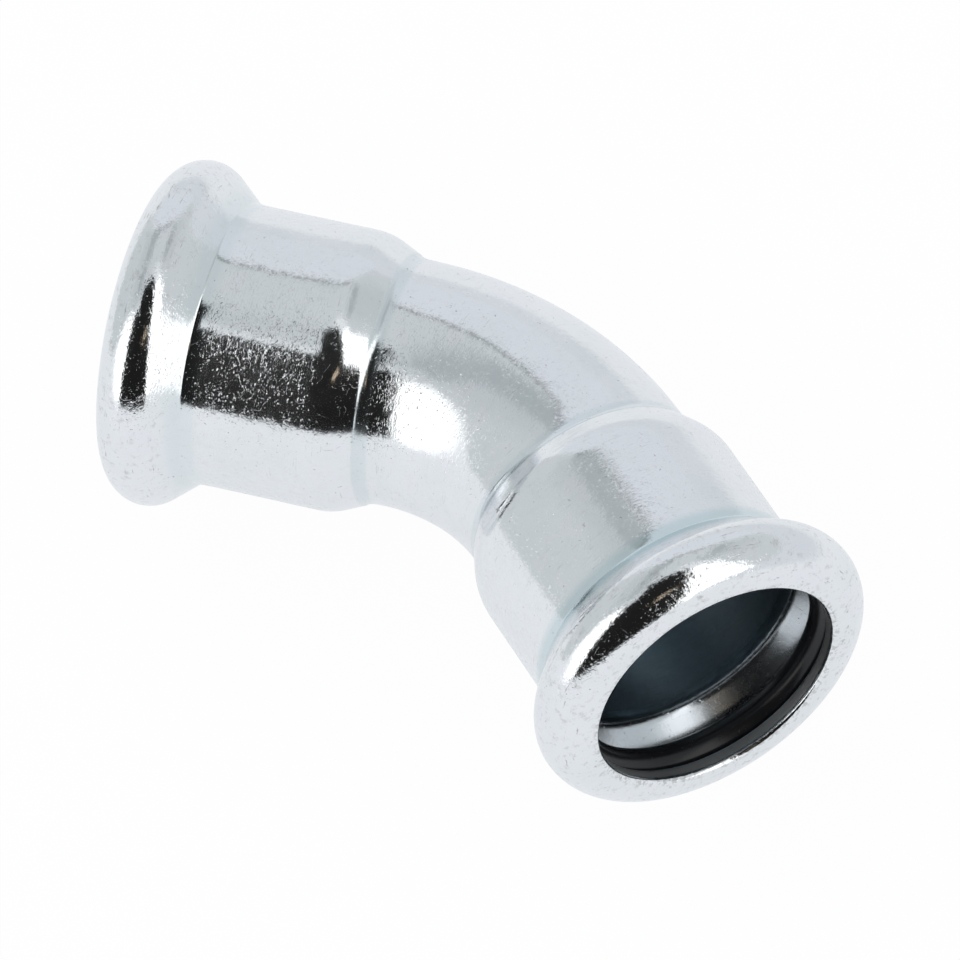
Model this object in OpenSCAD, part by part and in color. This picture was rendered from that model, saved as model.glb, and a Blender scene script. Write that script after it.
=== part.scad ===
/* [Pipe] */
// Outside diameter of the pipe that the fitting joins, and of the elbow's own tube
pipe_d = 22; // [15:0.5:28]
// Thickness of the steel wall
wall = 1.5; // [1:0.1:2]

/* [Elbow] */
// Angle through which the tube turns
bend_angle = 45; // [30:1:90]
// Radius of the bend along the middle of the tube
bend_r = 25.7; // [20:0.1:60]
// Straight tube left between a shoulder and the bend
tube_land = 0.2; // [0.1:0.1:20]

/* [Socket] */
// Gap all round between a pipe and its socket
pipe_gap = 0.15; // [0.05:0.05:0.5]
// Distance from the mouth to where the shoulder begins
socket_depth = 18.9; // [14:0.1:40]
// Slope of the shoulder against the axis of the socket
shoulder_slope = 24.5; // [15:0.5:45]
// Rounding outside, where the socket turns into the shoulder
shoulder_round = 5.7; // [2.2:0.1:8]
// Fillet outside, where the shoulder runs into the tube
shoulder_fillet = 2.4; // [0.5:0.1:4]

/* [Seal bead] */
// Thickness of the round rubber sealing ring
seal_d = 3; // [2:0.1:4]
// How far the sealing ring reaches in past the surface of the pipe
seal_grip = 0.05; // [0:0.01:0.2]
// Play between the sealing ring and the bead round it
seal_play = 0.15; // [0.05:0.05:0.3]
// Slope of the bead's back against the axis of the socket
bead_slope = 40.5; // [30:0.5:60]
// Fillet outside, where the back of the bead runs into the socket
bead_fillet = 0.5; // [0.2:0.1:2]
// Gap all round between a pipe and the lip of the mouth
lip_gap = 0.32; // [0.1:0.01:0.6]
// Rounding of the lip's front edge
lip_round = 0.4; // [0.1:0.05:0.6]

/* [Hidden] */
$fn = 120;

// The end of a leg reaches this far into the bend, whose wall is a hair thicker on both faces there
lap = 0.1;
lap_skin = 0.01;

// A round face crosses the straight face beside it by this much, where the two would only touch
hair = 0.002;

steel = [0.82, 0.84, 0.87];
rubber = [0.06, 0.06, 0.07];

// Radii of a leg, outside unless the name says otherwise
tube_r = pipe_d / 2;
socket_r = tube_r + pipe_gap + wall;
lip_r = tube_r + lip_gap;
ring_r = tube_r - seal_grip + seal_d / 2;
bead_r = seal_d / 2 + seal_play + wall;

// Heights along a leg, counted from its mouth
ring_v = bead_r;
bead_arcs = bead_r + bead_fillet;
bead_flat = (ring_r + bead_r - socket_r - bead_arcs * (1 - cos(bead_slope))) / sin(bead_slope);
bead_end_v = ring_v + bead_arcs * sin(bead_slope) + bead_flat * cos(bead_slope);
shoulder_arcs = shoulder_round + shoulder_fillet;
shoulder_flat = (socket_r - tube_r - shoulder_arcs * (1 - cos(shoulder_slope))) / sin(shoulder_slope);
shoulder_end_v = socket_depth + shoulder_arcs * sin(shoulder_slope) + shoulder_flat * cos(shoulder_slope);
leg_len = shoulder_end_v + tube_land;

// Middle of each sealing ring, counted back from the top of the bow
leg_turn = bend_angle / 2;
bow_r = tube_r + lap_skin;
ring_back = bend_r * (1 - cos(leg_turn)) + (leg_len - ring_v) * sin(leg_turn);

// The elbow lies on both beads with its bow tipped down, until the bow or both shoulders touch the ground
shoulder_run = socket_depth - ring_v;
shoulder_rise = ring_r - (socket_r - shoulder_round);
shoulder_lift = atan2(shoulder_rise, shoulder_run)
    + asin((bead_r - shoulder_round) / norm([shoulder_run, shoulder_rise]));
bow_drop = bow_r - bead_r;
bow_reach = norm([ring_back, ring_r * sin(leg_turn)]);
bow_half = bow_drop * ring_back / pow(bow_reach, 2);
bow_sine = sqrt(pow(bow_half, 2) + (pow(ring_r, 2) - pow(bow_drop, 2)) / pow(bow_reach, 2)) - bow_half;
lie_sine = min(1, bow_sine, sin(shoulder_lift) / sin(leg_turn));
lie_tilt = asin(lie_sine);

// Shift that puts the middle of the lying elbow's footprint at the origin, on the ground
bead_lift = ring_r * sqrt(1 - pow(sin(leg_turn) * lie_sine, 2)) + bead_r;
bead_depth = ring_r * sqrt(1 - pow(sin(leg_turn) * cos(lie_tilt), 2)) + bead_r;
lie_back = (ring_back * cos(lie_tilt) + bead_depth - bow_r) / 2;
lie_height = bead_lift - ring_back * lie_sine;

function polar(radius, angle) = radius * [cos(angle), sin(angle)];

// Slice of a round disc between two angles
module slice(centre, radius, from, to) {
    intersection() {
        translate(centre) circle(radius);
        polygon([centre, for (angle = [from, (from + to) / 2, to]) centre + polar(2 * radius, angle)]);
    }
}

// Everything inside a leg's skin, drawn as radius against height, with the skin set in by depth
module leg_section(depth) {
    bead_middle = [ring_r, ring_v];
    bead_back = bead_middle + polar(bead_r - depth - hair, bead_slope);
    bead_fillet_middle = [socket_r + bead_fillet, bead_end_v];
    bead_fillet_start = bead_fillet_middle - polar(bead_fillet + depth, bead_slope);
    round_middle = [socket_r - shoulder_round, socket_depth];
    round_end = round_middle + polar(shoulder_round - depth, shoulder_slope);
    fillet_middle = [tube_r + shoulder_fillet, shoulder_end_v];
    fillet_start = fillet_middle - polar(shoulder_fillet + depth, shoulder_slope);

    difference() {
        polygon([
            [0, depth + hair],
            [ring_r, depth + hair],
            bead_middle,
            bead_back,
            bead_fillet_start,
            bead_fillet_middle,
            [socket_r - depth, bead_end_v],
            [socket_r - depth, socket_depth],
            round_middle,
            round_end,
            fillet_start,
            fillet_middle,
            [tube_r - depth, shoulder_end_v],
            [tube_r - depth, leg_len + lap],
            [0, leg_len + lap]
        ]);
        translate(bead_fillet_middle) circle(bead_fillet + depth + hair);
        translate(fillet_middle) circle(shoulder_fillet + depth + hair);
    }
    translate(bead_middle) circle(bead_r - depth);
    slice(round_middle, shoulder_round - depth + hair, -30, shoulder_slope + 30);
}

// Wall of a leg, with the hole in its mouth and the rounded front edge of the lip
module leg_wall() {
    difference() {
        leg_section(0);
        leg_section(wall);
        square([lip_r + hair, ring_v]);
        square([lip_r + lip_round, lip_round]);
    }
    slice([lip_r + lip_round, lip_round], lip_round, 150, 300);
}

// Puts a leg, drawn upright with its mouth at the bottom, on the right-hand end of the bend
module on_right_leg() {
    translate([0, -bend_r, 0]) rotate([0, 0, -leg_turn]) translate([0, bend_r, 0])
        rotate([0, -90, 0]) translate([0, 0, -leg_len]) children();
}

// Lays the elbow on the ground, from its upright place with the top of the bow at the origin
module lying() {
    translate([0, lie_back, lie_height]) rotate([-lie_tilt, 0, 0]) children();
}

module bend() {
    translate([0, -bend_r, 0]) rotate_extrude(angle = bend_angle, start = 90 - leg_turn)
        translate([bend_r, 0]) difference() {
            circle(bow_r);
            circle(tube_r - wall - lap_skin);
        }
}

module elbow_body() {
    color(steel) lying() {
        bend();
        for (side = [0, 1]) mirror([side, 0, 0]) on_right_leg() rotate_extrude() leg_wall();
    }
}

module seal_ring(side) {
    color(rubber) lying() mirror([side, 0, 0]) on_right_leg()
        rotate_extrude() translate([ring_r, ring_v]) circle(seal_d / 2);
}

module left_seal_ring() { seal_ring(1); }
module right_seal_ring() { seal_ring(0); }

elbow_body();
left_seal_ring();
right_seal_ring();
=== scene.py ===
"""Looks of a 45 degree press elbow: formed steel with bright zinc plate, and two rubber rings."""

import math

import bpy
import numpy as np
from mathutils import Matrix, Vector


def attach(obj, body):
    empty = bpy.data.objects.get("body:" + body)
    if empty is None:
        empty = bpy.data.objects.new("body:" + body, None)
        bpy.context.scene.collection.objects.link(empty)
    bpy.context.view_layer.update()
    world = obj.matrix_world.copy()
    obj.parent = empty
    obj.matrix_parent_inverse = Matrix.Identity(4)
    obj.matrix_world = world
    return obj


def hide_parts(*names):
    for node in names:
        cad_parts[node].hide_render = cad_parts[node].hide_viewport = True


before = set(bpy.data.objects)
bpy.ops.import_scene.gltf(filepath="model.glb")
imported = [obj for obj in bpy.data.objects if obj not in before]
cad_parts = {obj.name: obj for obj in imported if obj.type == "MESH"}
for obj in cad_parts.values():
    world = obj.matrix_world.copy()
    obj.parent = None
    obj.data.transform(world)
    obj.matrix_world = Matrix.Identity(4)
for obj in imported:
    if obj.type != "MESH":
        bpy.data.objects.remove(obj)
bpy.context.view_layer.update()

MM = 0.001
HALF_TURN = math.pi
QUARTER_TURN = math.pi / 2

# Sizes of the body in millimetres.
# A radius is from the tube's own axis, and a depth is from the mouth.
TUBE_R = 11.0
WALL = 1.5
SOCKET_R = 12.65
SOCKET_DEPTH = 18.9
LEG_LEN = 24.4793
SHOULDER_ROUND = 5.7
SHOULDER_AT = (SOCKET_R - SHOULDER_ROUND, SOCKET_DEPTH)
SHOULDER_TURN = math.radians(24.5)
SHOULDER_FILLET = 2.4
SHOULDER_FILLET_AT = (13.4, 24.2793)
CREASE_R = 1.6
CREASE_AT = (12.645, 23.8775)
CREASE_TURN = math.radians(38)
BEAD_R = 3.15
BEAD_AT = (12.45, 3.15)
BEAD_TURN = math.radians(40.5)
BEAD_FILLET = 0.5
BEAD_FILLET_AT = (13.15, 7.9506)
BEAD_CREASE_AT = (13.21, 7.8804)
LIP_R = 11.32
LIP_ROUND = 0.4
LIP_AT = (LIP_R + LIP_ROUND, LIP_ROUND)
LIP_BACK_ROUND = 0.2
LIP_BACK_AT = (LIP_R + LIP_BACK_ROUND, WALL - LIP_BACK_ROUND)

# A seal ring's cord, and the flash line on it: its height, and its half width in radians.
RING_R = 1.5
FLASH_HEIGHT = 0.035
FLASH_HALF_WIDTH = 0.05

# Forming leaves the wall a little wider where it runs into a crease.
# A foot is where that crease begins.
TUBE_SWELL = 0.045
TUBE_SWELL_REACH = 2.0
TUBE_SWELL_TURN = math.atan(2 * TUBE_SWELL / TUBE_SWELL_REACH)
TUBE_FOOT = CREASE_AT[1] - CREASE_R * math.sin(TUBE_SWELL_TURN)
SOCKET_SWELL = 0.06
SOCKET_SWELL_REACH = 1.6
SOCKET_SWELL_TURN = math.atan(2 * SOCKET_SWELL / SOCKET_SWELL_REACH)
SOCKET_FOOT = BEAD_CREASE_AT[1] - BEAD_FILLET * math.sin(SOCKET_SWELL_TURN)

# Forming also leaves long shallow waves, this deep at most, and weaker inside.
# Each has a strength, its turns in radians to the millimetre along x, y and the tube, and a start.
FORMING_WAVE = 0.03
INNER_WAVE_SHARE = 0.3
WAVES = (
    (1.0, 0.22, 0.0, 0.31, 0.5),
    (1.0, 0.0, 0.47, -0.18, 1.9),
    (0.7, 0.62, 0.35, 0.27, 0.0),
    (0.5, 0.0, -0.41, 0.9, 2.6),
)

# The bend lies in a plane that leans back until both beads and the bow rest on the floor.
BEND_R = 25.7
HALF_BEND = math.radians(22.5)
HALF_ARC = BEND_R * HALF_BEND
BEND_NORMAL = np.array([0.0, 0.0, 1.0])
LEAN = math.radians(25.870769)
REST_PLACE = np.array([0.0, 6.466616, 11.01])

# Points round the tube, and rows of them on each stretch of a leg, on the bend and on a seal ring.
ROUND_STEPS = 192
TURNS = np.linspace(0, 2 * math.pi, ROUND_STEPS, endpoint=False)
TUBE_ROWS = 5
CREASE_ROWS = 14
SHOULDER_SLOPE_ROWS = 8
SHOULDER_ROWS = 14
SOCKET_ROWS = 10
SOCKET_SWELL_ROWS = 8
HOLLOW_ROWS = 8
BEAD_SLOPE_ROWS = 7
BEAD_ROWS = 40
LIP_FACE_ROWS = 2
LIP_ROWS = 9
LIP_HOLE_ROWS = 3
LIP_BACK_ROWS = 6
LIP_BACK_FACE_ROWS = 3
CHAMBER_ROWS = 22
CHAMBER_MOUTH_ROWS = 16
BORE_ROWS = 10
STOP_HOLLOW_ROWS = 8
STOP_SLOPE_ROWS = 2
STOP_CROWN_ROWS = 10
BEND_ROWS = 56
BORE_BEND_ROWS = 24
RING_ROWS = 56


def add_object(name, data):
    """A new object in the scene."""
    made = bpy.data.objects.new(name, data)
    bpy.context.scene.collection.objects.link(made)
    return made


def lean_back(points):
    """Points of the bend's own plane, in millimetres, to the resting frame, in millimetres."""
    x, y, z = points[..., 0], points[..., 1], points[..., 2]
    turned = np.stack(
        [
            x,
            math.cos(LEAN) * y + math.sin(LEAN) * z,
            -math.sin(LEAN) * y + math.cos(LEAN) * z,
        ],
        axis=-1,
    )
    return turned + REST_PLACE


def arc(centre, radius, start, end, steps):
    """Points (radius, depth) on a circle of the wall's section, from one angle to another."""
    turns = np.linspace(start, end, steps)
    return [
        (centre[0] + radius * math.cos(t), centre[1] + radius * math.sin(t))
        for t in turns
    ]


def straight(start, end, steps):
    """Points (radius, depth) on a line of the wall's section, both ends left out."""
    shares = np.linspace(0, 1, steps + 2)[1:-1]
    return [
        (start[0] + s * (end[0] - start[0]), start[1] + s * (end[1] - start[1]))
        for s in shares
    ]


def tube_radius(depth):
    """Radius of the tube outside, at a depth that may run on along the bend."""
    share = max(0.0, 1 - (depth - TUBE_FOOT) / TUBE_SWELL_REACH)
    return TUBE_R + TUBE_SWELL * share**2


def socket_radius(depth):
    """Radius of the socket outside, between its shoulder and its bead."""
    share = max(0.0, 1 - (depth - SOCKET_FOOT) / SOCKET_SWELL_REACH)
    return SOCKET_R + SOCKET_SWELL * share**2


def outer_section():
    """The outside of one leg, from the bend over shoulder, socket and bead to the lip hole."""
    tube_depths = np.linspace(LEG_LEN, TUBE_FOOT, TUBE_ROWS)[1:-1]
    tube_end = [(tube_radius(depth), depth) for depth in tube_depths]
    crease_start = HALF_TURN + TUBE_SWELL_TURN
    crease = arc(CREASE_AT, CREASE_R, crease_start, HALF_TURN + CREASE_TURN, CREASE_ROWS)
    shoulder = arc(SHOULDER_AT, SHOULDER_ROUND, SHOULDER_TURN, 0, SHOULDER_ROWS)
    swell_start = SOCKET_FOOT + SOCKET_SWELL_REACH
    plain_depths = np.linspace(SOCKET_DEPTH, swell_start, SOCKET_ROWS)[1:]
    swell_depths = np.linspace(swell_start, SOCKET_FOOT, SOCKET_SWELL_ROWS)[1:-1]
    socket_depths = np.concatenate([plain_depths, swell_depths])
    socket_wall = [(socket_radius(depth), depth) for depth in socket_depths]
    hollow_start = HALF_TURN + SOCKET_SWELL_TURN
    hollow = arc(BEAD_CREASE_AT, BEAD_FILLET, hollow_start, HALF_TURN + BEAD_TURN, HOLLOW_ROWS)
    bead = arc(BEAD_AT, BEAD_R, BEAD_TURN, -QUARTER_TURN, BEAD_ROWS)
    lip_edge = arc(LIP_AT, LIP_ROUND, -QUARTER_TURN, -HALF_TURN, LIP_ROWS)
    return (
        tube_end
        + crease
        + straight(crease[-1], shoulder[0], SHOULDER_SLOPE_ROWS)
        + shoulder
        + socket_wall
        + hollow
        + straight(hollow[-1], bead[0], BEAD_SLOPE_ROWS)
        + bead
        + straight(bead[-1], lip_edge[0], LIP_FACE_ROWS)
        + lip_edge
    )


def inner_section():
    """The inside of one leg, from the lip hole by seal chamber, bore and pipe stop to the bend."""
    lip_back = arc(LIP_BACK_AT, LIP_BACK_ROUND, HALF_TURN, QUARTER_TURN, LIP_BACK_ROWS)
    chamber = arc(BEAD_AT, BEAD_R - WALL, -QUARTER_TURN, BEAD_TURN, CHAMBER_ROWS)
    mouth_r = BEAD_FILLET + WALL
    mouth_start = HALF_TURN + BEAD_TURN
    chamber_mouth = arc(BEAD_FILLET_AT, mouth_r, mouth_start, HALF_TURN, CHAMBER_MOUTH_ROWS)
    stop_hollow = arc(SHOULDER_AT, SHOULDER_ROUND - WALL, 0, SHOULDER_TURN, STOP_HOLLOW_ROWS)
    crown_r = SHOULDER_FILLET + WALL
    crown_start = HALF_TURN + SHOULDER_TURN
    stop_crown = arc(SHOULDER_FILLET_AT, crown_r, crown_start, HALF_TURN, STOP_CROWN_ROWS)
    return (
        straight((LIP_R, LIP_ROUND), lip_back[0], LIP_HOLE_ROWS)
        + lip_back
        + straight(lip_back[-1], chamber[0], LIP_BACK_FACE_ROWS)
        + chamber
        + straight(chamber[-1], chamber_mouth[0], BEAD_SLOPE_ROWS)
        + chamber_mouth
        + straight(chamber_mouth[-1], stop_hollow[0], BORE_ROWS)
        + stop_hollow
        + straight(stop_hollow[-1], stop_crown[0], STOP_SLOPE_ROWS)
        + stop_crown
    )


def ring_round(middle, outward, radius):
    """One ring of points round a place on the tube's axis."""
    return (
        middle
        + radius * np.cos(TURNS)[:, None] * outward
        + radius * np.sin(TURNS)[:, None] * BEND_NORMAL
    )


def leg_ring(radius, depth, side):
    """One ring of points round a leg. Side is 1 for the right leg and -1 for the left."""
    end = np.array([BEND_R * math.sin(HALF_BEND), BEND_R * (math.cos(HALF_BEND) - 1), 0.0])
    along = np.array([math.cos(HALF_BEND), -math.sin(HALF_BEND), 0.0])
    outward = np.array([math.sin(HALF_BEND), math.cos(HALF_BEND), 0.0])
    ring = ring_round(end + along * (LEG_LEN - depth), outward, radius)
    ring[:, 0] *= side
    return ring


def bend_ring(radius, angle):
    """One ring of points round the bend, at an angle from its middle."""
    outward = np.array([math.sin(angle), math.cos(angle), 0.0])
    middle = np.array([0.0, -BEND_R, 0.0]) + BEND_R * outward
    return ring_round(middle, outward, radius)


def straight_place(radius, along):
    """Where a ring's points would be on a straight tube, which the finishes are laid out on."""
    return np.stack(
        [
            radius * np.cos(TURNS),
            radius * np.sin(TURNS),
            np.full(ROUND_STEPS, along),
        ],
        axis=-1,
    )


def forming_waves(places, is_inside):
    """How far forming has drawn the wall in, in millimetres, and never proud of its size."""
    x, y, along = places[:, 0], places[:, 1], places[:, 2]
    total = np.zeros(len(places))
    loudest = 0.0
    for strength, by_x, by_y, by_along, start in WAVES:
        total = total + strength * np.sin(by_x * x + by_y * y + by_along * along + start)
        loudest = loudest + strength
    sunk = FORMING_WAVE * (total / loudest - 1) / 2
    return np.where(is_inside > 0.5, -INNER_WAVE_SHARE * sunk, sunk)


def ring_mesh(name, rings, attributes):
    """A closed mesh from rings of points that follow each other and come back to the first."""
    rows, steps = len(rings), len(rings[0])
    points = np.concatenate(rings)
    row = np.arange(rows)[:, None]
    step = np.arange(steps)[None, :]
    next_row = (row + 1) % rows
    next_step = (step + 1) % steps
    corners = np.stack(
        [
            row * steps + step,
            row * steps + next_step,
            next_row * steps + next_step,
            next_row * steps + step,
        ],
        axis=-1,
    ).reshape(-1, 4)
    mesh = bpy.data.meshes.new(name)
    mesh.from_pydata((points * MM).tolist(), [], corners.tolist())
    for key, values in attributes.items():
        kind = "FLOAT" if values.ndim == 1 else "FLOAT_VECTOR"
        field = "value" if values.ndim == 1 else "vector"
        layer = mesh.attributes.new(key, kind, "POINT")
        layer.data.foreach_set(field, values.astype(np.float32).ravel())
    mesh.shade_smooth()
    mesh.update()
    return add_object(name, mesh)


def elbow_skin():
    """The steel body as one wall: left mouth, bend, right mouth, and back through the bore."""
    rows = []
    places = []
    inner = []
    mouths = []

    def add(ring, radius, along, is_inside, depth):
        rows.append(ring)
        places.append(straight_place(radius, along))
        inner.append(np.full(ROUND_STEPS, is_inside))
        mouths.append(np.full(ROUND_STEPS, depth))

    def add_leg(section, side, is_inside):
        for radius, depth in section:
            along = side * (HALF_ARC + LEG_LEN - depth)
            add(leg_ring(radius, depth, side), radius, along, is_inside, depth)

    outside = outer_section()
    inside = inner_section()
    add_leg(reversed(outside), -1, 0.0)
    for angle in np.linspace(-HALF_BEND, HALF_BEND, BEND_ROWS):
        radius = tube_radius(LEG_LEN + BEND_R * (HALF_BEND - abs(angle)))
        add(bend_ring(radius, angle), radius, BEND_R * angle, 0.0, LEG_LEN)
    add_leg(outside, 1, 0.0)
    add_leg(inside, 1, 1.0)
    for angle in np.linspace(HALF_BEND, -HALF_BEND, BORE_BEND_ROWS):
        radius = TUBE_R - WALL
        add(bend_ring(radius, angle), radius, BEND_R * angle, 1.0, LEG_LEN)
    add_leg(reversed(inside), -1, 1.0)

    place = np.concatenate(places)
    is_inside = np.concatenate(inner)
    depth = np.concatenate(mouths)
    sunk = forming_waves(place, is_inside).reshape(len(rows), ROUND_STEPS)
    rings = np.stack(rows)
    ahead = np.roll(rings, -1, axis=0) - np.roll(rings, 1, axis=0)
    beside = np.roll(rings, -1, axis=1) - np.roll(rings, 1, axis=1)
    facing = np.cross(beside, ahead)
    facing /= np.linalg.norm(facing, axis=-1, keepdims=True)
    rings = rings + facing * sunk[..., None]
    rings = lean_back(rings)
    return ring_mesh(
        "elbow_skin",
        list(rings),
        {"tube_place": place, "inside": is_inside, "mouth_depth": depth},
    )


def seal_ring(name, side):
    """One moulded rubber ring in its chamber, with the faint flash line that its mould leaves."""
    rings = []
    places = []
    for section in np.linspace(0, 2 * math.pi, RING_ROWS, endpoint=False):
        off_line = math.atan2(math.sin(section - math.pi), math.cos(section - math.pi))
        flash = FLASH_HEIGHT * math.exp(-((off_line / FLASH_HALF_WIDTH) ** 2))
        radius = BEAD_AT[0] + (RING_R + flash) * math.cos(section)
        depth = BEAD_AT[1] + (RING_R + flash) * math.sin(section)
        rings.append(leg_ring(radius, depth, side))
        places.append(straight_place(radius, depth))
    rings = lean_back(np.stack(rings))
    return ring_mesh(name, list(rings), {"tube_place": np.concatenate(places)})


class Wire:
    """A socket of a node tree. A sum on it adds a Math node to that tree."""

    def __init__(self, graph, socket):
        self.graph = graph
        self.socket = socket

    def maths(self, operation, first, second):
        return self.graph.node("ShaderNodeMath", {"operation": operation}, {0: first, 1: second})

    def __add__(self, other):
        return self.maths("ADD", self, other)

    def __radd__(self, other):
        return self.maths("ADD", other, self)

    def __sub__(self, other):
        return self.maths("SUBTRACT", self, other)

    def __rsub__(self, other):
        return self.maths("SUBTRACT", other, self)

    def __mul__(self, other):
        return self.maths("MULTIPLY", self, other)

    def __rmul__(self, other):
        return self.maths("MULTIPLY", other, self)

    def __pow__(self, other):
        return self.maths("POWER", self, other)


class Graph:
    """The node tree of one finish, one stage surface or the surroundings."""

    def __init__(self, tree):
        self.tree = tree
        tree.nodes.clear()

    def node(self, kind, settings, sockets, out=0):
        """Adds a node: its settings first, then the values or wires of its sockets."""
        made = self.tree.nodes.new(kind)
        for key, value in settings.items():
            setattr(made, key, value)
        for key, value in sockets.items():
            if isinstance(value, Wire):
                self.tree.links.new(value.socket, made.inputs[key])
            else:
                made.inputs[key].default_value = value
        return Wire(self, made.outputs[out]) if made.outputs else None

    def attribute(self, name, out):
        return self.node("ShaderNodeAttribute", {"attribute_name": name}, {}, out)

    def ray(self, out):
        return self.node("ShaderNodeLightPath", {}, {}, out)

    def stretch(self, vector, factors):
        return self.node("ShaderNodeVectorMath", {"operation": "MULTIPLY"}, {0: vector, 1: factors})

    def noise(self, vector, scale, detail, rough):
        return self.node(
            "ShaderNodeTexNoise",
            {},
            {"Vector": vector, "Scale": scale, "Detail": detail, "Roughness": rough},
            "Fac",
        )

    def band(self, value, low, high):
        """0 below low, 1 above high and smooth between; low above high turns it round."""
        return self.node(
            "ShaderNodeMapRange",
            {"interpolation_type": "SMOOTHSTEP"},
            {"Value": value, "From Min": low, "From Max": high},
        )

    def patches(self, vector, noise, limits):
        """Patches cut out of a noise: 1 in a patch and 0 beside it."""
        return self.band(self.noise(vector, *noise), *limits)

    def blend(self, factor, first, second):
        """A colour between two colours."""
        return self.node(
            "ShaderNodeMix",
            {"data_type": "RGBA"},
            {0: factor, 6: first, 7: second},
            2,
        )

    def bump(self, height, distance, normal=None):
        sockets = {"Height": height, "Distance": distance, "Strength": 1.0}
        if normal is not None:
            sockets["Normal"] = normal
        return self.node("ShaderNodeBump", {}, sockets)

    def glow(self, colour, strength):
        return self.node("ShaderNodeEmission", {}, {"Color": colour, "Strength": strength})

    def mix(self, factor, first, second):
        """A shader between two shaders."""
        return self.node("ShaderNodeMixShader", {}, {0: factor, 1: first, 2: second})

    def surface(self, shader):
        self.node("ShaderNodeOutputMaterial", {}, {"Surface": shader})


def new_material(name):
    """A new material, and the graph of its nodes."""
    made = bpy.data.materials.new(name)
    made.use_nodes = True
    return made, Graph(made.node_tree)


# Where the plate changes along a leg: the depths, in millimetres from the mouth, at which a change
# begins and is full. Where a zone ends, the first is the larger one.
CUT_EDGE_STARTS = (0.15, 0.3)
CUT_EDGE_ENDS = (1.5, 1.2)
LIP_ENDS = (1.0, 0.5)
RIM_ENDS = (7.0, 5.5)
HOLLOW_STARTS = (5.6, 7.3)
HOLLOW_ENDS = (9.4, 8.2)
BORE_EDGE_STARTS = (6.5, 7.1)
BORE_EDGE_ENDS = (8.6, 8.0)
BORE_STARTS = (7.7, 8.6)
SOCKET_STARTS = (8.2, 9.2)
SOCKET_ENDS = (19.6, 18.6)
SIZED_ENDS = (22.0, 19.5)
CREASE_STARTS = (22.7, 23.0)
CREASE_ENDS = (24.4, 23.8)
TUBE_STARTS = (23.4, 24.0)

# The same for the radius at the lip, and for the way along the tube from the middle of the bend.
LIP_RADII = (12.1, 11.7)
RIGHT_STARTS = (0.0, 20.0)

# Noises: waves to the millimetre, layers of finer waves, and how strong those are.
# Patches also have the heights of the noise at which a patch begins and is full.
GRAIN = (1.0, 2.0, 0.6)
GRAIN_STRETCH = (2.4, 2.4, 4.0)
GROOVES = (1.0, 2.0, 0.55)
GROOVE_STRETCH = (1.2, 1.2, 4.2)
PEEL = (0.75, 1.0, 0.5)
CLOUDS = (0.16, 3.0, 0.6)
CLOUD_LIMITS = (0.35, 0.7)
FINE_FLECKS = (5.5, 2.0, 0.6)
COARSE_FLECKS = (2.8, 2.0, 0.6)
FLECK_POWER = 12
SCRATCH_PATHS = (0.5, 1.5, 0.5)
SCRATCH_LEVEL = 0.5
SCRATCH_LIMITS = (0.006, 0.002)
SCRATCH_PIECES = ((0.9, 2.0, 0.6), (0.5, 0.58))
CLUMPS = ((0.7, 3.0, 0.65), (0.34, 0.6))
PITS = ((1.9, 3.0, 0.7), (0.67, 0.72))
STREAKS = ((1.0, 3.0, 0.7), (0.6, 0.7))
STREAK_STRETCH = (0.5, 0.5, 6.0)
SCUFFED = ((0.35, 2.0, 0.6), (0.48, 0.6))
STAINS = ((1.3, 4.0, 0.7), (0.52, 0.72))
VIOLET = ((0.28, 2.0, 0.6), (0.5, 0.66))
LIP_WEAR = ((2.5, 2.0, 0.6), (0.5, 0.6))
HAZE = ((1.1, 4.0, 0.7), (0.3, 0.7))
RUBBER_GRAIN = (9.0, 2.0, 0.6)
OIL = (0.35, 3.0, 0.6)
DUST = ((2.6, 3.0, 0.7), (0.64, 0.74))

# Heights of the fine relief, in metres.
GRAIN_HEIGHT = 0.000004
GROOVE_HEIGHT = 0.000009
SPECK_HEIGHT = 0.0006
SCRATCH_HEIGHT = 0.000009
PEEL_HEIGHT = 0.000014

# Colours and roughness of the plate and the rubber.
PLATE_LIGHT = (0.85, 0.865, 0.88, 1.0)
PLATE_DULL = (0.815, 0.84, 0.85, 1.0)
PLATE_VIOLET = (0.843, 0.855, 0.88, 1.0)
# Painted shade and painted reflection of the body itself, laid in the creases and along the bead
# hollow.
PAINTED_HOLLOW_SHADE = (0.56, 0.68, 0.71, 1.0)
# Inside the mouth and bore the plate is bluer and darker: partly the thinner plate inside, partly
# painted shade of the dark interior.
CHAMBER_BLUE_AND_SHADE = (0.63, 0.675, 0.71, 1.0)
BORE_SLATE_AND_SHADE = (0.42, 0.49, 0.53, 1.0)
EDGE_GREY = (0.58, 0.57, 0.56, 1.0)
STAIN_GREY = (0.55, 0.53, 0.515, 1.0)
PIT_BROWN = (0.24, 0.22, 0.20, 1.0)
PLATE_ROUGH = 0.07
HAZE_ROUGH = 0.45
RUBBER_BLACK = (0.006, 0.006, 0.007, 1.0)
RUBBER_OILED = (0.012, 0.012, 0.013, 1.0)
DUST_GREY = (0.05, 0.05, 0.05, 1.0)
RUBBER_ROUGH = 0.18
RUBBER_IOR = 1.42


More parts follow.
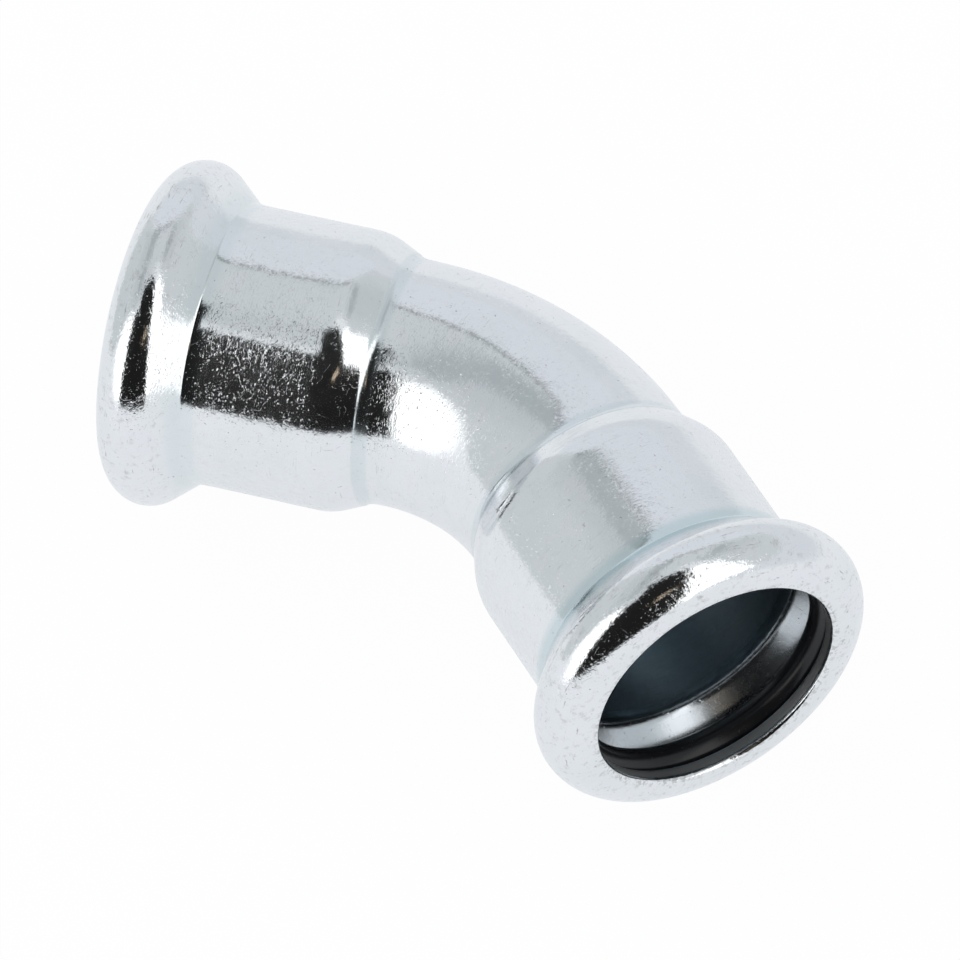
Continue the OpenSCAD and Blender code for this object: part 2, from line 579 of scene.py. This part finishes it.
def zinc_plate():
    """Bright zinc on formed steel: mirror bright, finely grooved, with pits, specks and scuffs."""
    made, g = new_material("zinc_plate")
    place = g.attribute("tube_place", "Vector")
    inside = g.attribute("inside", "Fac")
    depth = g.attribute("mouth_depth", "Fac")
    across = g.stretch(place, (1.0, 1.0, 0.0))
    radius = g.node("ShaderNodeVectorMath", {"operation": "LENGTH"}, {0: across}, "Value")
    along = g.node("ShaderNodeSeparateXYZ", {}, {0: place}, "Z")

    # Zones of the wall.
    outside = 1.0 - inside
    in_bore = inside * g.band(depth, *BORE_STARTS)
    in_chamber = inside - in_bore
    bore_edge = inside * g.band(depth, *BORE_EDGE_STARTS) * g.band(depth, *BORE_EDGE_ENDS)
    cut_edge = g.band(depth, *CUT_EDGE_ENDS) * g.band(depth, *CUT_EDGE_STARTS) * inside
    rim = g.band(depth, *RIM_ENDS) * outside
    lip_edge = rim * g.band(radius, *LIP_RADII) * g.band(depth, *LIP_ENDS)
    socket_start = g.band(depth, *SOCKET_STARTS)
    sized = socket_start * g.band(depth, *SIZED_ENDS)
    crease = g.band(depth, *CREASE_STARTS) * g.band(depth, *CREASE_ENDS)
    bead_hollow = g.band(depth, *HOLLOW_STARTS) * g.band(depth, *HOLLOW_ENDS)
    on_socket = socket_start * g.band(depth, *SOCKET_ENDS)
    on_tube = g.band(depth, *TUBE_STARTS)
    on_right = g.band(along, *RIGHT_STARTS)

    # Marks, placed by noise.
    grain = g.noise(g.stretch(place, GRAIN_STRETCH), *GRAIN)
    grooves = sized * g.noise(g.stretch(place, GROOVE_STRETCH), *GROOVES)
    peel = g.noise(place, *PEEL)
    clouds = g.noise(place, *CLOUDS)
    fine_flecks = g.noise(place, *FINE_FLECKS) ** FLECK_POWER
    coarse_flecks = g.noise(place, *COARSE_FLECKS) ** FLECK_POWER
    as_formed = 0.35 + 0.65 * (on_socket + on_tube)
    flecked = as_formed * outside + 0.35 * rim + 0.5 * (cut_edge + bore_edge)
    specks = flecked * g.patches(place, *CLUMPS) * (fine_flecks + 1.2 * coarse_flecks)
    pits = g.patches(place, *PITS)
    off_level = g.noise(place, *SCRATCH_PATHS) - SCRATCH_LEVEL
    off_path = g.node("ShaderNodeMath", {"operation": "ABSOLUTE"}, {0: off_level})
    scratches = g.band(off_path, *SCRATCH_LIMITS) * g.patches(place, *SCRATCH_PIECES)
    streaks = g.patches(g.stretch(place, STREAK_STRETCH), *STREAKS)
    scuffs = streaks * g.patches(place, *SCUFFED)
    stains = g.patches(place, *STAINS) * (0.25 + 0.75 * rim)
    haze = sized * g.patches(place, *HAZE)

    # Colours laid over each other: how much each zone or mark covers, and its colour.
    colour = g.blend(g.band(clouds, *CLOUD_LIMITS), PLATE_LIGHT, PLATE_DULL)
    for cover, tint in (
        (g.patches(place, *VIOLET), PLATE_VIOLET),
        # Painted shade and painted reflection: teal darkening in the creases and along the bead
        # hollow, stronger on the right leg.
        (0.3 * crease + bead_hollow * (0.25 + 0.4 * on_right), PAINTED_HOLLOW_SHADE),
        (0.5 * stains, STAIN_GREY),
        # Painted shade inside, partly the thinner plate there: the seal chamber bluer and the bore
        # darker.
        (in_chamber, CHAMBER_BLUE_AND_SHADE),
        (0.95 * in_bore, BORE_SLATE_AND_SHADE),
        (cut_edge, EDGE_GREY),
        (scuffs * (0.25 + 0.45 * rim), PIT_BROWN),
        (0.35 * lip_edge * g.patches(place, *LIP_WEAR), PIT_BROWN),
        (0.5 * pits, PIT_BROWN),
    ):
        colour = g.blend(cover, colour, tint)

    # What each zone or mark adds to the roughness.
    rough = PLATE_ROUGH
    for extra, cover in (
        (0.06, clouds),
        (0.14, pits),
        (0.06, crease),
        (0.17, inside),
        (0.03, in_bore),
        (0.17, cut_edge),
        (0.06, stains),
        (-0.12, bore_edge),
    ):
        rough = rough + extra * cover

    # Fine relief, laid over each other.
    normal = None
    for relief, height in (
        (grain * (1.0 + 3.0 * rim), GRAIN_HEIGHT),
        (grooves, GROOVE_HEIGHT),
        (specks, SPECK_HEIGHT),
        (0.3 * scratches - 0.8 * pits, SCRATCH_HEIGHT),
        (peel, PEEL_HEIGHT),
    ):
        normal = g.bump(relief, height, normal)

    shader = g.node(
        "ShaderNodeBsdfPrincipled",
        {},
        {
            "Base Color": colour,
            "Metallic": 1.0,
            "Roughness": rough,
            "Normal": normal,
            "Coat Weight": haze,
            "Coat Roughness": HAZE_ROUGH,
        },
    )
    g.surface(shader)
    return made


def seal_rubber():
    """Black moulded rubber, oiled for fitting: satin, with a fine grain and dusty patches."""
    made, g = new_material("seal_rubber")
    place = g.attribute("tube_place", "Vector")
    oil = g.noise(place, *OIL)
    dust = g.patches(place, *DUST)
    black = g.blend(oil, RUBBER_BLACK, RUBBER_OILED)
    shader = g.node(
        "ShaderNodeBsdfPrincipled",
        {},
        {
            "Base Color": g.blend(0.25 * dust, black, DUST_GREY),
            "Roughness": RUBBER_ROUGH + 0.14 * oil + 0.15 * dust,
            "Normal": g.bump(g.noise(place, *RUBBER_GRAIN), GRAIN_HEIGHT),
            "IOR": RUBBER_IOR,
        },
    )
    g.surface(shader)
    return made


skin = elbow_skin()
skin.data.materials.append(zinc_plate())
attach(skin, "root")
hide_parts("elbow_body")

rubber = seal_rubber()
for ring_name, cad_node, ring_side in (
    ("left_ring_skin", "left_seal_ring", -1),
    ("right_ring_skin", "right_seal_ring", 1),
):
    ring_piece = seal_ring(ring_name, ring_side)
    ring_piece.data.materials.append(rubber)
    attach(ring_piece, "root")
    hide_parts(cad_node)

# Camera: its own axes and place in the resting frame, in metres.
VIEW_RIGHT = Vector((0.76823, 0.55948, -0.31114))
VIEW_UP = Vector((-0.48186, 0.82534, 0.29433))
VIEW_BACK = Vector((0.42147, -0.07619, 0.90364))
VIEW_PLACE = Vector((0.271594, -0.048046, 0.591532))
camera_data = bpy.data.cameras.new("camera")
camera_data.lens = 275.54
camera_data.sensor_width = 36.0
camera_data.sensor_fit = "HORIZONTAL"
camera_data.clip_start = 0.01
camera_data.clip_end = 20.0
camera = add_object("camera", camera_data)
turn = Matrix((VIEW_RIGHT, VIEW_UP, VIEW_BACK)).transposed().to_4x4()
camera.matrix_world = Matrix.Translation(VIEW_PLACE) @ turn
bpy.context.scene.camera = camera

# Colours of the light tent and its floor.
PANEL_GREY = (0.642, 0.679, 0.694, 1.0)
PANEL_HALF_SHADE = (0.58, 0.615, 0.63, 1.0)
PANEL_SHADE = (0.44, 0.478, 0.492, 1.0)
SEAM_SHADE = (0.24, 0.255, 0.26, 1.0)
ROOF_TINT = (0.75, 0.785, 0.83, 1.0)
RIM_LIGHT = (0.84, 0.87, 0.885, 1.0)
OPENING_DARK = (0.012, 0.012, 0.012, 1.0)
CARD_WARM = (0.72, 0.58, 0.43, 1.0)
CLOTH = (0.883, 0.907, 0.934, 1.0)
CLOTH_SHADE = (0.70, 0.74, 0.775, 1.0)
SHEET_WHITE = (0.95, 0.95, 0.95, 1.0)
WHITE = (1.0, 1.0, 1.0, 1.0)

# Points on a card's outline are this many degrees apart, and rings of them lead in to its middle.
CARD_STEP = 3.0
CARD_RINGS = (0.75, 0.5, 0.25, 0.02)

# Cards of the light tent: name, distance in metres, colour, strength, the degrees over which the
# rim fades, and the outline in tent directions.
TENT_CARDS = (
    (
        "front_opening", 1.05, OPENING_DARK, 1.0, 1.0,
        [
            (-18, 30), (3, 31), (9, 28), (13.5, 20), (17.5, 15), (19.5, 10), (22, 0),
            (33, -28), (39, -55), (0, -56), (-36, -50), (-47, -45), (-44, -34), (-41, -24),
            (-37, -13), (-33.5, -3), (-30.5, 7), (-28.5, 12), (-19.5, 12), (-19, 18), (-18.5, 24),
        ],
    ),
    (
        "warm_card", 1.03, CARD_WARM, 1.0, 1.5,
        [(6, -11.5), (9, -13.5), (17.5, -6.5), (14.5, -3.5)],
    ),
    (
        "left_softbox", 1.30, WHITE, 1.7, 10.0,
        [
            (-28, 9), (-38, 12), (-48, 12), (-57, 8), (-65, 1), (-70, -8),
            (-72, -18), (-70, -30), (-60, -40), (-48, -43), (-42, -34), (-34, -10),
        ],
    ),
    (
        "right_softbox", 1.30, WHITE, 1.5, 4.0,
        [
            (14, 22), (19, 29), (23, 27), (33, 20), (40, 13), (50, 2),
            (62, -22), (64, -52), (58, -64), (38, -56), (22, 0), (17, 10),
        ],
    ),
    (
        "rim_light", 1.35, RIM_LIGHT, 1.0, 3.0,
        [(-2, 33), (3, 41), (14, 37), (20, 31), (14, 22), (8, 27)],
    ),
    (
        "left_shade", 1.8, PANEL_SHADE, 1.0, 6.0,
        [(-36, 22), (-26, 24), (-22, 50), (-17, 66), (-17, 71), (-34, 72)],
    ),
    (
        "left_half_shade", 1.85, PANEL_HALF_SHADE, 1.0, 16.0,
        [(-52, 20), (-26, 24), (-21, 70), (-50, 72)],
    ),
    (
        "right_shade", 1.8, PANEL_SHADE, 1.0, 8.0,
        [(18, 40), (25, 36), (31, 62), (20, 68)],
    ),
    (
        "right_half_shade", 1.85, PANEL_HALF_SHADE, 1.0, 12.0,
        [(16, 38), (44, 30), (46, 64), (18, 68)],
    ),
    (
        "roof_seam", 1.7, SEAM_SHADE, 1.0, 1.0,
        [(-34, 72.2), (14, 71.2), (14, 69), (-34, 70)],
    ),
    (
        "roof_cloth", 2.2, ROOF_TINT, 1.0, 6.0,
        [(-60, 86), (-30, 72), (14, 71), (70, 84), (60, 118), (-40, 116)],
    ),
    (
        "left_panel", 2.3, PANEL_GREY, 1.0, 2.0,
        [
            (-104, 10), (-106, 50), (-98, 84), (-76, 89), (-52, 87), (-38, 80),
            (-28, 74), (2, 73), (2, 30), (-30, 12), (-60, 6), (-88, -6),
        ],
    ),
    (
        "right_panel", 2.4, PANEL_GREY, 1.0, 4.0,
        [
            (0, 73), (30, 84), (60, 93), (92, 86), (104, 60), (104, 10),
            (94, -18), (72, -36), (58, -16), (30, 20), (0, 30),
        ],
    ),
)


def tent_direction(across, up):
    """A direction of the light tent: degrees to the right of the camera, and above it."""
    away = math.radians(math.hypot(across, up))
    heading = math.atan2(up, across)
    return (
        math.sin(away) * math.cos(heading) * VIEW_RIGHT
        + math.sin(away) * math.sin(heading) * VIEW_UP
        + math.cos(away) * VIEW_BACK
    )


def rim_points(corners):
    """Points along a closed outline of tent directions."""
    points = []
    for start, end in zip(corners, corners[1:] + corners[:1]):
        start, end = np.array(start, float), np.array(end, float)
        count = max(1, round(np.linalg.norm(end - start) / CARD_STEP))
        points += [start + (end - start) * share / count for share in range(count)]
    return np.array(points)


def tent_card(name, distance, colour, strength, fade, corners):
    """A curved card of the light tent, seen only as a mirror image. Its rim fades out."""
    rim = rim_points(corners)
    middle = rim.mean(axis=0)
    spokes = rim - middle
    reach = np.linalg.norm(spokes, axis=1, keepdims=True)
    half_fade = 0.5 * fade * spokes / reach
    rings = [rim + half_fade, rim - half_fade]
    rings += [middle + (spokes - half_fade) * share for share in CARD_RINGS]
    covers = [0.0] + [1.0] * (len(rings) - 1)
    count = len(rim)
    faces = [
        (
            ring * count + spot,
            ring * count + (spot + 1) % count,
            (ring + 1) * count + (spot + 1) % count,
            (ring + 1) * count + spot,
        )
        for ring in range(len(rings) - 1)
        for spot in range(count)
    ]
    faces.append(tuple((len(rings) - 1) * count + spot for spot in range(count)))
    points = [tuple(tent_direction(*spot) * distance) for spot in np.concatenate(rings)]
    mesh = bpy.data.meshes.new(name)
    mesh.from_pydata(points, [], faces)
    cover_layer = mesh.attributes.new("cover", "FLOAT", "POINT")
    cover_layer.data.foreach_set("value", np.repeat(covers, count).astype(np.float32))
    mesh.update()
    card = add_object(name, mesh)
    made, g = new_material(name)
    open_air = g.node("ShaderNodeBsdfTransparent", {}, {})
    g.surface(g.mix(g.attribute("cover", "Fac"), open_air, g.glow(colour, strength)))
    mesh.materials.append(made)
    card.visible_camera = False
    card.visible_shadow = False
    card.visible_diffuse = False


for tent_row in TENT_CARDS:
    tent_card(*tent_row)

# Floor: white where it is looked at, apart from the object's faint shadow, and cloth grey where it
# is mirrored, with a painted shadow of the object darker at the back.
FLOOR_HALF = 6.0
FLOOR_BACKWARDS = (0.3, 0.954, 0.0)
FLOOR_BACK_STARTS = (0.045, 0.068)
MIRRORED_SHARE = 0.8
LOOKED_AT_SHARE = 0.96
floor_mesh = bpy.data.meshes.new("floor")
floor_mesh.from_pydata(
    [
        (-FLOOR_HALF, -FLOOR_HALF, 0.0),
        (FLOOR_HALF, -FLOOR_HALF, 0.0),
        (FLOOR_HALF, FLOOR_HALF, 0.0),
        (-FLOOR_HALF, FLOOR_HALF, 0.0),
    ],
    [],
    [[0, 1, 2, 3]],
)
floor_mesh.update()
floor = add_object("floor", floor_mesh)
pale, ground = new_material("pale_floor")
sheet = ground.node("ShaderNodeBsdfDiffuse", {}, {"Color": SHEET_WHITE})
spot = ground.node("ShaderNodeNewGeometry", {}, {}, "Position")
to_back = ground.node(
    "ShaderNodeVectorMath",
    {"operation": "DOT_PRODUCT"},
    {0: spot, 1: FLOOR_BACKWARDS},
    "Value",
)
# A painted shadow of the object on the floor at the back, seen only in mirrors.
floor_with_painted_shadow = ground.blend(ground.band(to_back, *FLOOR_BACK_STARTS), CLOTH, CLOTH_SHADE)
in_mirror = ground.ray("Is Glossy Ray") + ground.ray("Is Transmission Ray")
lit = ground.mix(in_mirror * MIRRORED_SHARE, sheet, ground.glow(floor_with_painted_shadow, 1.0))
looked_at = ground.ray("Is Camera Ray") * LOOKED_AT_SHARE
ground.surface(ground.mix(looked_at, lit, ground.glow(WHITE, 1.0)))
floor_mesh.materials.append(pale)

# Surroundings: a pale tent for light and mirrors, plain white behind the object.
world = bpy.data.worlds.new("light_tent")
world.use_nodes = True
bpy.context.scene.world = world
tent = Graph(world.node_tree)
cloth = tent.node("ShaderNodeBackground", {}, {"Color": CLOTH, "Strength": 1.0})
white = tent.node("ShaderNodeBackground", {}, {"Color": WHITE, "Strength": 1.0})
seen_white = tent.mix(tent.ray("Is Camera Ray"), cloth, white)
tent.node("ShaderNodeOutputWorld", {}, {"Surface": seen_white})

bpy.context.scene.view_settings.view_transform = "Standard"
